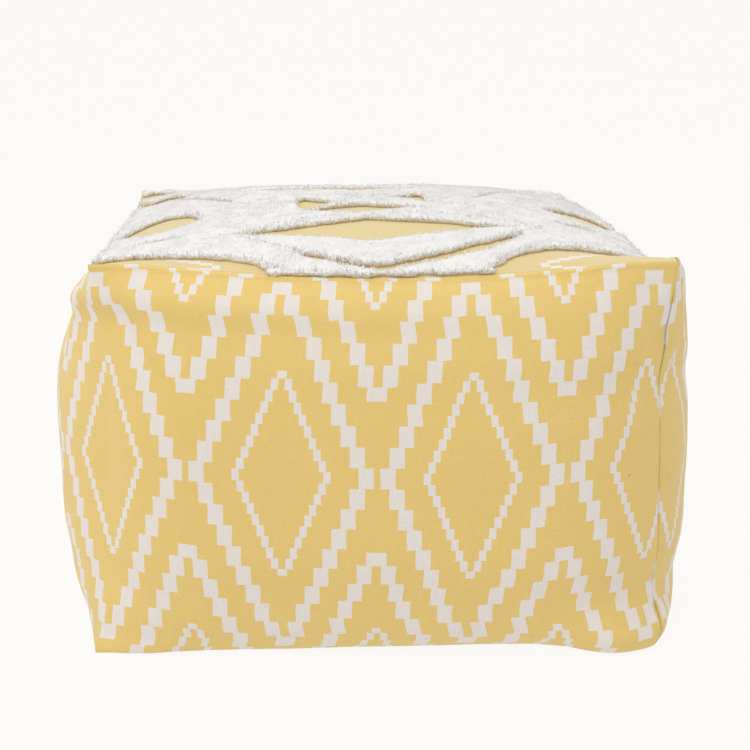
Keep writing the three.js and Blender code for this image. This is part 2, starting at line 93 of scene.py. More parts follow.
# Bare places in the pile: cx, cy, half width (or left, right), half depth to the front and back, power, turn
WINDOWS = {
    "diamond_front": (-4, -157, 121, 34, 32, 1.0, 0.06),
    "diamond_back": (-4, 66, 116, 34, 34, 1.0, 0.06),
    "heart_mid": (-8, -85, 48, 22, 20, 1.3, 0.08),
    "heart_back": (-8, 125, 48, 22, 20, 1.3, 0.08),
    "left_point_mid": (-66, -53, (4, 38), 39, 40, 1.0, 0.0),
    "right_point_mid": (57, -25, (30, 4), 34, 34, 1.0, 0.0),
    "left_point_back": (-66, 157, (4, 38), 39, 40, 1.0, 0.0),
    "right_point_back": (57, 185, (30, 4), 34, 34, 1.0, 0.0),
    "front_left": (-262, -262, 160, 38, 43, 3.0, 0.0),
    "front_right": (278, -262, 182, 38, 80, 2.0, 0.0),
    "left_mid": (-200, -82, 38, 36, 60, 1.6, 0.08),
    "right_mid": (214, -50, 38, 34, 30, 1.6, 0.08),
    "left_back": (-206, 128, 34, 34, 50, 1.6, 0.08),
    "right_back": (214, 172, 34, 36, 40, 1.6, 0.08),
    "corner_left": (-230, 222, 28, 26, 20, 1.3, 0.0),
    "nick_left": (-194, -158, 14, 5, 6, 1.5, 0.1),
    "nick_right": (199, -108, 14, 5, 6, 1.5, 0.1),
}
RINGS = {  # the tufted bands that stand apart from the field
    "front": (-2, -158, (125, 150), 82, 46, 1.3, 0.08),
    "mid": (6, -80, (58, 80), 36, 52, 1.0, 0.08),
    "back": (6, 130, (58, 80), 36, 52, 1.0, 0.08),
}
PARTING = 0.1           # line round a band where the piles close over it
FRONT_LINE = [(-80, 0.8), (-57, 5), (-20, 4), (8, 6), (53, 10), (100, 13), (124, 6), (136, 0.8)]   # x, width of the bare line
SLITS = [  # thin bare lines in the field: outline, and their width along x
    ((-262, -89, 168, 100, 262, 1.1, 0.08), [(-262, 26), (-240, 20), (-212, 9), (-150, 8), (-138, 5), (-128, 0)]),
    ((262, -47, 168, 100, 262, 1.1, 0.08), [(95, 0), (140, 7), (200, 8), (240, 8), (262, 8)]),
]
INSET_LEFT = [(-250, 2), (-150, 1), (-60, 1), (20, 2), (150, 2), (250, 1)]
INSET_RIGHT = [(-250, 22), (-232, 12), (-200, 3), (-150, 0), (250, 0)]


# ------------------------------------------------------------------ shape of the filled pouf
def smooth(t):
    t = np.clip(t, 0, 1)
    return t * t * (3 - 2 * t)


def eased(table, w):
    out = np.zeros_like(np.asarray(w, float))
    for (w0, a), (w1, b) in zip(table[:-1], table[1:]):
        out = np.where(w >= w0, a + (b - a) * smooth((w - w0) / (w1 - w0)), out)
    return out


def table_at(table, x):
    return np.interp(x, [p[0] for p in table], [p[1] for p in table])


def sag(k, s):
    if k == 1:
        return eased(RIGHT_SAG, (1 + np.clip(s, -1, 1)) / 2)
    depth, reach_of, power = SAGS[k]
    return depth * np.maximum(0, 1 - np.abs(s / reach_of) ** power)


def side_point(k, s, w):
    """Side k (front, right, back, left) by itself, s along it from -1 to 1, w up it from 0 to 1, in mm."""
    p = SIDES[k]
    top_r = p["top_r"] + (RIGHT_SOFTER * smooth((s + 0.75) / 0.6) if k == 1 else 0)
    full = (1 - np.abs(1 - 2 * np.clip(w, 0, 1)) ** FULL_POWER) ** np.where(w > 0.5, top_r, p["low_r"])
    m = smooth((1 + s) / 2)
    c = HALF + eased(CORNERS[k], w) * (1 - m) + eased(CORNERS[(k + 1) % 4], w) * m
    power = 2 + (np.where(s < 0, p["start"], p["end"]) - 2) * full
    out = c + (p["bow_low"] + (p["bow_top"] - p["bow_low"]) * w + p["bulge"] * full) * (1 - np.abs(s) ** power)
    for side, high, s0, ws, w0, ww in LUMPS:
        if side == k:
            out = out + high * np.exp(-((s - s0) / ws) ** 2 - ((w - w0) / ww) ** 2)
    along = s * c
    z = LOW + w * (HEIGHT - sag(k, s) - LOW)
    x, y = ((along, -out), (out, along), (-along, out), (-out, -along))[k]
    return np.stack([x, y, z], -1)


def wall_point(k, s, w):
    """The same, with the ends of the sides drawn together at the corners."""
    p = side_point(k, s, w)
    one = np.ones_like(p[..., 0])
    pull = smooth((np.abs(s) - 0.75) / 0.25) * np.where(s > 0, 1.0, 0.0)
    p = p + 0.5 * pull[..., None] * (side_point((k + 1) % 4, -one, w) - side_point(k, one, w))
    pull = smooth((np.abs(s) - 0.75) / 0.25) * np.where(s < 0, 1.0, 0.0)
    return p + 0.5 * pull[..., None] * (side_point((k + 3) % 4, one, w) - side_point(k, -one, w))


def seam(k, s, w):
    s = np.asarray(s, float)
    return wall_point(k, s, np.full_like(s, w))[..., :2]


def panel_plan(u, v, w):
    """Plan position in a panel over the square -1..1, spanned between the four seams at height share w."""
    u, v = np.asarray(u, float), np.asarray(v, float)
    F, B, R, L = seam(0, u, w), seam(2, -u, w), seam(1, v, w), seam(3, -v, w)
    U, V = u[..., None], v[..., None]
    c = {(a, b): 0.5 * ((seam(0, a, w) if b < 0 else seam(2, -a, w)) + (seam(1, b, w) if a > 0 else seam(3, -b, w)))
         for a in (-1.0, 1.0) for b in (-1.0, 1.0)}
    return ((1 - V) * F + (1 + V) * B + (1 - U) * L + (1 + U) * R) / 2 - (
        (1 - U) * (1 - V) * c[-1.0, -1.0] + (1 + U) * (1 - V) * c[1.0, -1.0]
        + (1 - U) * (1 + V) * c[-1.0, 1.0] + (1 + U) * (1 + V) * c[1.0, 1.0]) / 4


def panel_z(u, v):
    u, v = np.clip(u, -1, 1), np.clip(v, -1, 1)
    side = np.where(u > 0, 2 + 1.5 * np.clip((v + 0.9) / 0.6, 0, 1), 2 + 2 * smooth((v + 0.1) / 0.7))
    dome = CROWN * (1 - np.abs(u) ** side) * (1 - v * v)
    ends = np.where(v < 0, sag(0, u), sag(2, -u)) * np.abs(v) ** 4
    return HEIGHT - ends - np.where(u > 0, sag(1, v), sag(3, -v)) * np.abs(u) ** 4 + dome


def placed(p):
    """The top corners drawn in or raised, and the lean: the back of the top stands a little to the left."""
    p = np.array(p, float)
    for sx, sy, drawn, down, radius in TOP_ROUND:
        g = np.exp(-((p[..., 0] - sx * HALF) ** 2 + (p[..., 1] - sy * HALF) ** 2 + (p[..., 2] - HEIGHT + 5) ** 2) / radius**2)
        p[..., 0] -= sx * 0.7 * drawn * g
        p[..., 1] -= sy * 0.7 * drawn * g
        p[..., 2] -= down * g
    p[..., 0] -= SKEW * ((p[..., 1] + HALF) / PANEL) * (p[..., 2] / HEIGHT)
    return p


def along_curve(points, wanted, axis):
    """The same curves with points at the wanted shares of their length, on the given axis (0 or 1)."""
    p = np.moveaxis(points, axis, 0)
    d = np.linalg.norm(np.diff(p, axis=0), axis=-1)
    arc = np.concatenate([np.zeros((1,) + d.shape[1:]), np.cumsum(d, 0)])
    arc /= arc[-1]
    out = np.empty((len(wanted),) + p.shape[1:])
    for i in range(p.shape[1]):
        for a in range(3):
            out[:, i, a] = np.interp(wanted, arc[:, i], p[:, i, a])
    return np.moveaxis(out, 0, axis)


def shares(n, length, near_start, near_end):
    """n even steps from 0 to 1, with closer ones in the last millimetres before a seam."""
    close = np.array([0.7, 1.4, 2.2, 3.2, 4.6, 6.4]) / length
    t = list(np.linspace(0, 1, n + 1))
    if near_start:
        t += list(close)
    if near_end:
        t += list(1 - close)
    t = np.unique(np.round(t, 7))
    keep = np.ones(len(t), bool)
    for i in range(1, len(t) - 1):
        fixed = np.any(np.isclose(t[i], close)) or np.any(np.isclose(t[i], 1 - close))
        if not fixed and ((near_start and t[i] < 7.5 / length) or (near_end and t[i] > 1 - 7.5 / length)):
            keep[i] = False
    return t[keep]


SIDE_N, ROW_N = 128, 92
ROWS = shares(ROW_N, BAND, True, True)


def band_grid():
    """The band from the front-right join round by the right, back and left to the join again:
    points (columns, rows, 3) in mm before the lean, the cloth length at each column, and (side, s, w) there."""
    w = 0.5 - 0.5 * np.cos(np.linspace(0, np.pi, 161))
    s = np.sin(np.linspace(-np.pi / 2, np.pi / 2, 181))
    grids, lengths, start = [], [], 0.0
    for k, length in zip((1, 2, 3, 0), LENGTHS):
        S, Wd = np.meshgrid(s, w, indexing="ij")
        t = shares(SIDE_N, length, k == 1, k == 0)
        if k != 0:
            t = t[:-1]
        g = along_curve(wall_point(k, S, Wd), t, 0)
        grids.append(along_curve(g, ROWS, 1))
        lengths.append(start + t * length)
        start += length
    return np.concatenate(grids), np.concatenate(lengths)


# ------------------------------------------------------------------ mesh helpers
def mesh_object(name, verts, quads=None, tris=None, smooth_shade=True):
    me = bpy.data.meshes.new(name)
    parts = []
    if quads is not None and len(quads):
        parts.append((np.asarray(quads, np.int32), 4))
    if tris is not None and len(tris):
        parts.append((np.asarray(tris, np.int32), 3))
    loops = np.concatenate([f.ravel() for f, _ in parts])
    totals = np.concatenate([np.full(len(f), n, np.int32) for f, n in parts])
    starts = np.concatenate([[0], np.cumsum(totals)[:-1]]).astype(np.int32)
    me.vertices.add(len(verts))
    me.vertices.foreach_set("co", np.asarray(verts, np.float32).ravel())
    me.loops.add(len(loops))
    me.loops.foreach_set("vertex_index", loops)
    me.polygons.add(len(totals))
    me.polygons.foreach_set("loop_start", starts)
    me.polygons.foreach_set("loop_total", totals)
    me.polygons.foreach_set("use_smooth", np.full(len(totals), smooth_shade, bool))
    me.update(calc_edges=True)
    me.validate()
    ob = bpy.data.objects.new(name, me)
    bpy.context.scene.collection.objects.link(ob)
    return ob


def set_uv(ob, name, uv_of_vertex):
    """A UV map from one (u, v) per vertex; where a seam needs two, pass one per loop."""
    me = ob.data
    layer = me.uv_layers.new(name=name)
    idx = np.empty(len(me.loops), np.int32)
    me.loops.foreach_get("vertex_index", idx)
    uv = np.asarray(uv_of_vertex, np.float32)
    data = uv[idx] if len(uv) == len(me.vertices) else uv
    layer.data.foreach_set("uv", data.ravel())
    return layer


def set_float(ob, name, values):
    a = ob.data.attributes.new(name, "FLOAT", "POINT")
    a.data.foreach_set("value", np.asarray(values, np.float32))


def normals_of(grid):
    """Unit normals of a band grid whose first and last columns lie on each other."""
    ring = np.concatenate([grid[-2:-1], grid, grid[1:2]])
    du = ring[2:] - ring[:-2]
    dv = np.gradient(grid, axis=1)
    n = np.cross(du, dv)
    return n / np.maximum(np.linalg.norm(n, axis=-1, keepdims=True), 1e-9)


def bumps(x, y, cell_x, cell_y, seed, wrap_x=0):
    """Soft bumps between about -1 and 1 at places x, y: random values a cell apart, joined by smooth curves."""
    r = np.random.default_rng(seed)
    fx, fy = np.asarray(x, float) / cell_x, np.asarray(y, float) / cell_y
    ix, iy = np.floor(fx).astype(int), np.floor(fy).astype(int)
    table = r.uniform(-1, 1, (257, 257))
    tx, ty = fx - ix, fy - iy

    def basis(f):
        return [(1 - f) ** 3 / 6, (3 * f**3 - 6 * f**2 + 4) / 6, (-3 * f**3 + 3 * f**2 + 3 * f + 1) / 6, f**3 / 6]

    bx, by = basis(tx), basis(ty)
    out = np.zeros(np.broadcast(fx, fy).shape)
    for a in range(4):
        ia = ix + a - 1
        if wrap_x:
            ia = ia % wrap_x
        for b in range(4):
            out += bx[a] * by[b] * table[ia % 257, (iy + b - 1) % 257]
    return out * 1.7


# ------------------------------------------------------------------ camera, light and floor
scene = bpy.context.scene
scene.view_settings.view_transform = "Standard"
scene.view_settings.look = "None"

cam_data = bpy.data.cameras.new("camera")
cam_data.lens, cam_data.sensor_width = 65.53, 36.0
cam = bpy.data.objects.new("camera", cam_data)
cam.location = (-0.0368, -1.3913, 0.5389)
cam.rotation_euler = (math.radians(90 - 14.076), 0, math.radians(-1.5555))
scene.collection.objects.link(cam)
scene.camera = cam

world = bpy.data.worlds.new("studio")
scene.world = world
world.use_nodes = True
world.node_tree.nodes["Background"].inputs[0].default_value = (0.985, 0.965, 0.947, 1)
world.node_tree.nodes["Background"].inputs[1].default_value = 0.80


def area_light(name, place, aim, size, power, colour=(1, 1, 1)):
    data = bpy.data.lights.new(name, "AREA")
    data.shape, data.size, data.size_y = "RECTANGLE", size[0], size[1]
    data.energy, data.color = power, colour
    ob = bpy.data.objects.new(name, data)
    ob.location = place
    ob.rotation_euler = (Vector(aim) - Vector(place)).to_track_quat("-Z", "Y").to_euler()
    scene.collection.objects.link(ob)
    return ob


area_light("key", (-1.5, -1.7, 2.4), (0, 0, 0.25), (2.2, 2.2), 30)
area_light("top", (0.1, 0.3, 3.0), (0, 0, 0.3), (2.8, 2.8), 24)


def new_material(name):
    m = bpy.data.materials.new(name)
    m.use_nodes = True
    return m, m.node_tree, m.node_tree.nodes["Principled BSDF"]


floor_mat, nt, bsdf = new_material("pale_floor")
bsdf.inputs["Base Color"].default_value = (0.06, 0.059, 0.058, 1)
bsdf.inputs["Roughness"].default_value = 1.0
bsdf.inputs["Specular IOR Level"].default_value = 0.0
bsdf.inputs["Emission Color"].default_value = (1, 0.980, 0.962, 1)
bsdf.inputs["Emission Strength"].default_value = 0.918


def stage_floor():
    """A floor that turns up softly into a back wall, far off, so nothing of it draws a line."""
    prof = [(-9.0, 0.0), (5.0, 0.0)]
    for a in np.linspace(0, math.pi / 2, 13)[1:]:
        prof.append((5.0 + 3.0 * math.sin(a), 3.0 - 3.0 * math.cos(a)))
    prof.append((8.0, 12.0))
    xs = np.linspace(-12, 12, 5)
    verts = [(x, y, z) for y, z in prof for x in xs]
    n = len(xs)
    quads = [(j * n + i, j * n + i + 1, (j + 1) * n + i + 1, (j + 1) * n + i) for j in range(len(prof) - 1) for i in range(n - 1)]
    ob = mesh_object("floor", verts, quads)
    ob.data.materials.append(floor_mat)
    return ob


stage_floor()


# ------------------------------------------------------------------ materials
class Nodes:
    """Short calls for a node tree."""

    def __init__(self, nt):
        self.nt = nt

    def link(self, a, b):
        self.nt.links.new(a, b)

    def put(self, socket, value):
        if isinstance(value, bpy.types.NodeSocket):
            self.link(value, socket)
        else:
            socket.default_value = value

    def math(self, op, a, b=None, c=None, clamp=False):
        n = self.nt.nodes.new("ShaderNodeMath")
        n.operation, n.use_clamp = op, clamp
        for i, v in enumerate((a, b, c)):
            if v is not None:
                self.put(n.inputs[i], v)
        return n.outputs[0]

    def split(self, vector):
        n = self.nt.nodes.new("ShaderNodeSeparateXYZ")
        self.link(vector, n.inputs[0])
        return n.outputs[0], n.outputs[1], n.outputs[2]

    def join(self, x, y, z=0.0):
        n = self.nt.nodes.new("ShaderNodeCombineXYZ")
        for i, v in enumerate((x, y, z)):
            self.put(n.inputs[i], v)
        return n.outputs[0]

    def uv(self, name):
        n = self.nt.nodes.new("ShaderNodeUVMap")
        n.uv_map = name
        return n.outputs[0]

    def noise(self, vector, scale, detail=2.0, rough=0.5, colour=False):
        n = self.nt.nodes.new("ShaderNodeTexNoise")
        self.link(vector, n.inputs["Vector"])
        n.inputs["Scale"].default_value = scale
        n.inputs["Detail"].default_value = detail
        n.inputs["Roughness"].default_value = rough
        return n.outputs["Color"] if colour else n.outputs["Fac"]

    def mix(self, fac, a, b):
        n = self.nt.nodes.new("ShaderNodeMix")
        n.data_type = "RGBA"
        self.put(n.inputs[0], fac)
        for i, v in ((6, a), (7, b)):
            self.put(n.inputs[i], v)
        return n.outputs[2]

    def attribute(self, name):
        n = self.nt.nodes.new("ShaderNodeAttribute")
        n.attribute_name = name
        return n.outputs["Fac"]

    def scaled(self, colour, factor):
        n = self.nt.nodes.new("ShaderNodeVectorMath")
        n.operation = "SCALE"
        self.link(colour, n.inputs[0])
        self.put(n.inputs["Scale"], factor)
        return n.outputs[0]

    def bump(self, height, strength, distance, normal=None):
        n = self.nt.nodes.new("ShaderNodeBump")
        n.inputs["Strength"].default_value = strength
        n.inputs["Distance"].default_value = distance
        self.link(height, n.inputs["Height"])
        if normal is not None:
            self.link(normal, n.inputs["Normal"])
        return n.outputs[0]


def stepped_diamond(g, dx, dy, step, shift, widest, half_block, tip_half, tip_high):
    """1 on a stepped diamond outline. dx and dy are distances from its centre: eight steps of height `step`
    each way, each `shift` nearer the axis than the one before, and a block that closes the tip."""
    row = g.math("FLOOR", g.math("ADD", g.math("DIVIDE", dy, step), 0.5))
    offset = g.math("SUBTRACT", widest, g.math("MULTIPLY", row, shift))
    near = g.math("LESS_THAN", g.math("ABSOLUTE", g.math("SUBTRACT", dx, offset)), half_block)
    body = g.math("MULTIPLY", near, g.math("LESS_THAN", row, 8.5))
    tip = g.math("MULTIPLY", g.math("LESS_THAN", dx, tip_half), g.math("MULTIPLY",
                 g.math("GREATER_THAN", dy, 8.5 * step), g.math("LESS_THAN", dy, 8.5 * step + tip_high)))
    return g.math("MAXIMUM", body, tip)


LARGE = dict(step=0.01882, shift=0.0079, widest=0.0739, half_block=0.0066, tip_half=0.0087, tip_high=0.0126)
SMALL = dict(step=0.01014, shift=0.00419, widest=0.0397, half_block=0.0032, tip_half=0.0042, tip_high=0.0068)
REPEAT, RISE = 0.1667, 0.4819
FLECK = (1.9995, 0.1771, 0.0008)   # a tiny dark fleck in the twill: place on the band, size
PRINT_A = (0.0213, 0.1868)      # centre of one large diamond on the band, from the join and the base seam


def folded(g, x, period, centre):
    """Distance of x from the nearest of the points centre + n * period."""
    t = g.math("DIVIDE", g.math("SUBTRACT", x, centre), period)
    f = g.math("SUBTRACT", t, g.math("ROUND", t))
    return g.math("MULTIPLY", g.math("ABSOLUTE", f), period)


YELLOW = (0.740, 0.545, 0.186, 1)
YELLOW_DEEP = (0.708, 0.515, 0.170, 1)
INK_WHITE = (0.735, 0.695, 0.655, 1)


def cloth_material(name, print_kind, yellow=YELLOW, deep=YELLOW_DEEP, sheen=0.22):
    m, nt, bsdf = new_material(name)
    g = Nodes(nt)
    uv = g.uv("Print")
    wobble = g.noise(uv, 70.0, 2.0, 0.5, colour=True)
    n = nt.nodes.new("ShaderNodeVectorMath")
    n.operation = "MULTIPLY_ADD"
    g.link(wobble, n.inputs[0])
    n.inputs[1].default_value = (0.0018, 0.0018, 0)
    g.link(uv, n.inputs[2])
    x, y, _ = g.split(n.outputs[0])
    x = g.math("SUBTRACT", x, 0.0009)
    y = g.math("SUBTRACT", y, 0.0009)
    ink = None
    if print_kind == "band":
        ax, bx = folded(g, x, REPEAT, PRINT_A[0]), folded(g, x, REPEAT, PRINT_A[0] + REPEAT / 2)
        ay, by = folded(g, y, RISE, PRINT_A[1]), folded(g, y, RISE, PRINT_A[1] + RISE / 2)
        for dx, dy in ((ax, ay), (bx, by)):
            for size in (LARGE, SMALL):
                d = stepped_diamond(g, dx, dy, **size)
                ink = d if ink is None else g.math("MAXIMUM", ink, d)
    elif print_kind == "corners":
        dx = g.math("ABSOLUTE", g.math("SUBTRACT", g.math("ABSOLUTE", x), 0.2300))
        dy = g.math("ABSOLUTE", g.math("SUBTRACT", g.math("ABSOLUTE", y), 0.2400))
        ink = stepped_diamond(g, dy, dx, **SMALL)
    # twill: fine slanting ribs, and yarns of uneven tone
    ux, uy, _ = g.split(uv)
    slant = g.math("ADD", g.math("MULTIPLY", ux, 0.74), g.math("MULTIPLY", uy, -0.67))
    yarn_wave = g.math("MULTIPLY", g.noise(uv, 420.0, 1.0, 0.5), 0.0007)
    rib = g.math("SINE", g.math("MULTIPLY", g.math("ADD", slant, yarn_wave), 2 * math.pi / 0.0021))
    across = g.math("SINE", g.math("MULTIPLY", g.math("ADD", ux, uy), 2 * math.pi / 0.0013))
    weave = g.math("ADD", g.math("MULTIPLY", rib, 0.7), g.math("MULTIPLY", across, 0.3))
    slub = g.noise(g.join(g.math("MULTIPLY", ux, 60.0), g.math("MULTIPLY", uy, 900.0)), 1.0, 2.0, 0.6)
    slub2 = g.noise(g.join(g.math("MULTIPLY", ux, 900.0), g.math("MULTIPLY", uy, 60.0)), 1.0, 2.0, 0.6)
    blotch = g.noise(uv, 9.0, 3.0, 0.55)
    ground = g.mix(g.math("MULTIPLY", g.math("SUBTRACT", blotch, 0.3), 1.4, clamp=True), yellow, deep)
    colour, strength = ground, 0.050
    if ink is not None:
        colour = g.mix(g.math("MULTIPLY", ink, 0.97), ground, INK_WHITE)
        strength = g.math("SUBTRACT", 0.050, g.math("MULTIPLY", ink, 0.030))
    tone = g.math("ADD", 1.0, g.math("MULTIPLY", weave, strength))
    tone = g.math("ADD", tone, g.math("MULTIPLY", g.math("SUBTRACT", g.math("ADD", slub, slub2), 1.0), 0.11))
    if print_kind == "band":                 # the join: a thin shadowed line between two turned edges
        away = folded(g, ux, AROUND * MM, 0.0)
        line = g.math("SUBTRACT", 1.0, g.math("DIVIDE", away, 0.0010), clamp=True)
        line = g.math("MULTIPLY", line, g.math("DIVIDE", g.math("SUBTRACT", 0.362, uy), 0.012, clamp=True))
        tone = g.math("MULTIPLY", tone, g.math("SUBTRACT", 1.0, g.math("MULTIPLY", line, 0.45)))
        fx, fy = g.math("SUBTRACT", ux, FLECK[0]), g.math("SUBTRACT", uy, FLECK[1])
        away = g.math("SQRT", g.math("ADD", g.math("MULTIPLY", fx, fx), g.math("MULTIPLY", fy, fy)))
        fleck = g.math("SUBTRACT", 1.5, g.math("DIVIDE", away, FLECK[2]), clamp=True)
        tone = g.math("MULTIPLY", tone, g.math("SUBTRACT", 1.0, g.math("MULTIPLY", fleck, 0.62)))
    bsdf.inputs["Roughness"].default_value = 0.93
    bsdf.inputs["Specular IOR Level"].default_value = 0.2
    bsdf.inputs["Sheen Weight"].default_value = sheen
    bsdf.inputs["Sheen Roughness"].default_value = 0.5
    g.link(g.scaled(colour, tone), bsdf.inputs["Base Color"])
    g.link(g.bump(weave, 0.4, 0.0003), bsdf.inputs["Normal"])
    return m


band_mat = cloth_material("printed_twill_band", "band")
# The top panel is the same cloth as the band. Its base colour, less saturated and a little darker than the band's, is
# painted sheen: it stands in for the whitish sheen its fuzz shows at grazing angles. Its Sheen Weight of 0.45 is real
# shader sheen.
panel_mat = cloth_material("printed_twill_panel_painted_sheen", "corners", (0.665, 0.526, 0.230, 1), (0.645, 0.506, 0.214, 1), 0.45)
base_mat = cloth_material("plain_twill", None)


def yarn_material(name, strands):
    m, nt, bsdf = new_material(name)
    g = Nodes(nt)
    pos = nt.nodes.new("ShaderNodeTexCoord").outputs["Object"]
    patch = g.noise(pos, 45.0, 3.0, 0.6)
    warm = (0.755, 0.745, 0.735, 1)
    cool = (0.740, 0.732, 0.723, 1)
    colour = g.mix(patch, cool, warm)
    if strands:
        # tone: a random shade per strand, plus painted light that makes the edge strands paler
        tone = g.math("ADD", 0.93, g.math("MULTIPLY", g.attribute("tone"), 0.10))
        colour = g.scaled(colour, tone)
    colour = g.mix(g.attribute("low"), colour, (0.70, 0.50, 0.17, 1))     # painted ochre shade at the roots: the yellow cloth's bounce light and the shade deep in the pile, partly also the backing cloth showing between strands
    fibre = g.noise(pos, 1800.0, 2.0, 0.6)
    bsdf.inputs["Roughness"].default_value = 1.0
    bsdf.inputs["Specular IOR Level"].default_value = 0.05
    bsdf.inputs["Sheen Weight"].default_value = 0.25
    bsdf.inputs["Sheen Roughness"].default_value = 0.8
    g.link(colour, bsdf.inputs["Base Color"])
    g.link(g.bump(fibre, 0.25, 0.0003), bsdf.inputs["Normal"])
    return m


mat_mat = yarn_material("pile_yarn_mat", False)
strand_mat = yarn_material("pile_yarn_strands", True)


# ------------------------------------------------------------------ the filled body in its side band
def fold_lines(U, V):
    """Over the band, in mm of cloth: how deep the folds go, and how far the print moves along the band."""
    deep, moved = np.zeros(U.shape), np.zeros(U.shape)
    starts = {1: 0.0, 2: LENGTHS[0], 3: sum(LENGTHS[:2]), 0: sum(LENGTHS[:3])}
    size = {1: LENGTHS[0], 2: LENGTHS[1], 3: LENGTHS[2], 0: LENGTHS[3]}
    for k, course, depth, width, taken in FOLDS:
        pts = [(starts[k] + size[k] * (1 + s) / 2, BAND * w) for s, w in course]
        run = np.cumsum([0] + [math.dist(a, b) for a, b in zip(pts[:-1], pts[1:])])
        best = np.full(U.shape, 1e9)
        signed, share = np.zeros(U.shape), np.zeros(U.shape)
        for i, (a, b) in enumerate(zip(pts[:-1], pts[1:])):
            dx, dy = b[0] - a[0], b[1] - a[1]
            n2 = dx * dx + dy * dy
            t = np.clip(((U - a[0]) * dx + (V - a[1]) * dy) / n2, 0, 1)
            px, py = U - a[0] - t * dx, V - a[1] - t * dy
            d = np.hypot(px, py)
            nearer = d < best
            best = np.where(nearer, d, best)
            signed = np.where(nearer, np.sign(px) * d, signed)
            share = np.where(nearer, (run[i] + t * (run[i + 1] - run[i])) / run[-1], share)
        fade = smooth(share / 0.12 + 0.35) * smooth((1 - share) / 0.45)
        shape = np.exp(-(best / width) ** 2) + 0.35 * np.exp(-((best / (2.6 * width)) ** 2))
        deep += depth * fade * shape / 1.35
        moved += 0.5 * taken * fade * np.tanh(signed / width) * np.exp(-((best / 34.0) ** 2))
    return deep, moved


def body_piece():
    grid, U = band_grid()
    V = ROWS * BAND
    UU, VV = np.meshgrid(U, V, indexing="ij")
    n = normals_of(grid)
    from_join = np.minimum(UU, AROUND - UU)
    from_rim = np.minimum(VV, BAND - VV)
    calm = np.clip(from_rim / 40, 0, 1) ** 0.8
    # slow unevenness of a filled cloth cube
    cells = 30
    cell = AROUND / cells
    out = bumps(UU, VV, cell, 74.0, 11, cells) * 1.3 * calm
    out += bumps(UU, VV, AROUND / 82, 31.0, 12, 82) * 0.5 * calm
    deep, moved = fold_lines(UU, VV)
    out -= deep * np.clip(from_rim / 5, 0, 1)
    # small puckers that the stitches draw in along the join and the rims
    held = np.clip((BAND - VV) / 5, 0, 1)    # the top seam itself stays on the panel's edge
    out += 0.35 * bumps(UU, VV, 60.0, 9.0, 21) * np.exp(-from_join / 9) * held
    out += 0.30 * bumps(UU, VV, AROUND / 190, 40.0, 22, 190) * np.exp(-from_rim / 8) * held
    # the seams themselves
    near_rim = np.clip((BAND - VV) / 12, 0, 1)
    out -= (1.5 * np.exp(-((from_join / 1.1) ** 2)) + 1.2 * np.exp(-((from_join / 6.0) ** 2))) * near_rim
    to_top, to_base = BAND - VV, VV
    out += 0.6 * np.exp(-(((to_top - 2.6) / 1.6) ** 2)) - 0.8 * np.exp(-(((to_top - 7.0) / 3.0) ** 2))
    out -= 1.6 * np.clip(1 - to_base / 5.0, 0, 1) ** 2
    grid = grid + n * out[..., None]
    lift = 0.5 + 1.3 * np.clip(bumps(UU, VV * 0, AROUND / 46, 50.0, 31, 46), 0, 1)
    grid[..., 2] -= (LOW - lift) * smooth(1 - to_base / 30.0)
    grid = placed(grid)[:-1]
    cols, rows = grid.shape[0], grid.shape[1]
    verts = grid.reshape(-1, 3)
    q, j = [a.ravel() for a in np.meshgrid(np.arange(cols), np.arange(rows - 1), indexing="ij")]
    at = lambda c, r: (c % cols) * rows + r
    quads = np.stack([at(q, j), at(q + 1, j), at(q + 1, j + 1), at(q, j + 1)], -1)
    uv = np.stack([UU + moved, VV], -1) * MM
    wall_uv = np.stack([uv[q, j], uv[q + 1, j], uv[q + 1, j + 1], uv[q, j + 1]], 1)
    flat = np.stack([UU / AROUND, VV / BAND], -1)
    bake_uv = np.stack([flat[q, j], flat[q + 1, j], flat[q + 1, j + 1], flat[q, j + 1]], 1)
    # caps under the two panels
    t = np.sin(np.linspace(-np.pi / 2, np.pi / 2, 29)) * 0.985
    A, B = np.meshgrid(t, t, indexing="ij")
    top = placed(np.concatenate([panel_plan(A, B, 1.0), (panel_z(A, B) - CLOTH - GAP - 0.6)[..., None]], -1)).reshape(-1, 3)
    low = placed(np.concatenate([panel_plan(A, B, 0.0), np.full(A.shape + (1,), CLOTH + GAP)], -1)).reshape(-1, 3)
    m = len(t)
    ii, jj = np.meshgrid(np.arange(m - 1), np.arange(m - 1), indexing="ij")
    f = np.stack([ii * m + jj, (ii + 1) * m + jj, (ii + 1) * m + jj + 1, ii * m + jj + 1], -1).reshape(-1, 4)
    base = len(verts)
    ob = mesh_object("side_band", np.concatenate([verts, top, low]) * MM,
                     np.concatenate([quads, f + base, f[:, ::-1] + base + m * m]))
    extra = len(f) * 2 * 4
    set_uv(ob, "Print", np.concatenate([wall_uv.reshape(-1, 2), np.full((extra, 2), -0.06)]))
    set_uv(ob, "OFBake", np.concatenate([bake_uv.reshape(-1, 2) * np.array([0.98, 0.90]) + 0.01,
                                        np.tile(np.array([0.005, 0.995]), (extra, 1))]))
    ob.data.materials.append(band_mat)
    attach(ob, "root")
    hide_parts("side_band_body")
    return ob


body = body_piece()


# ------------------------------------------------------------------ top and base panels
def panel_lines(n):
    t = shares(n, PANEL, True, True)
    return 2 * t - 1


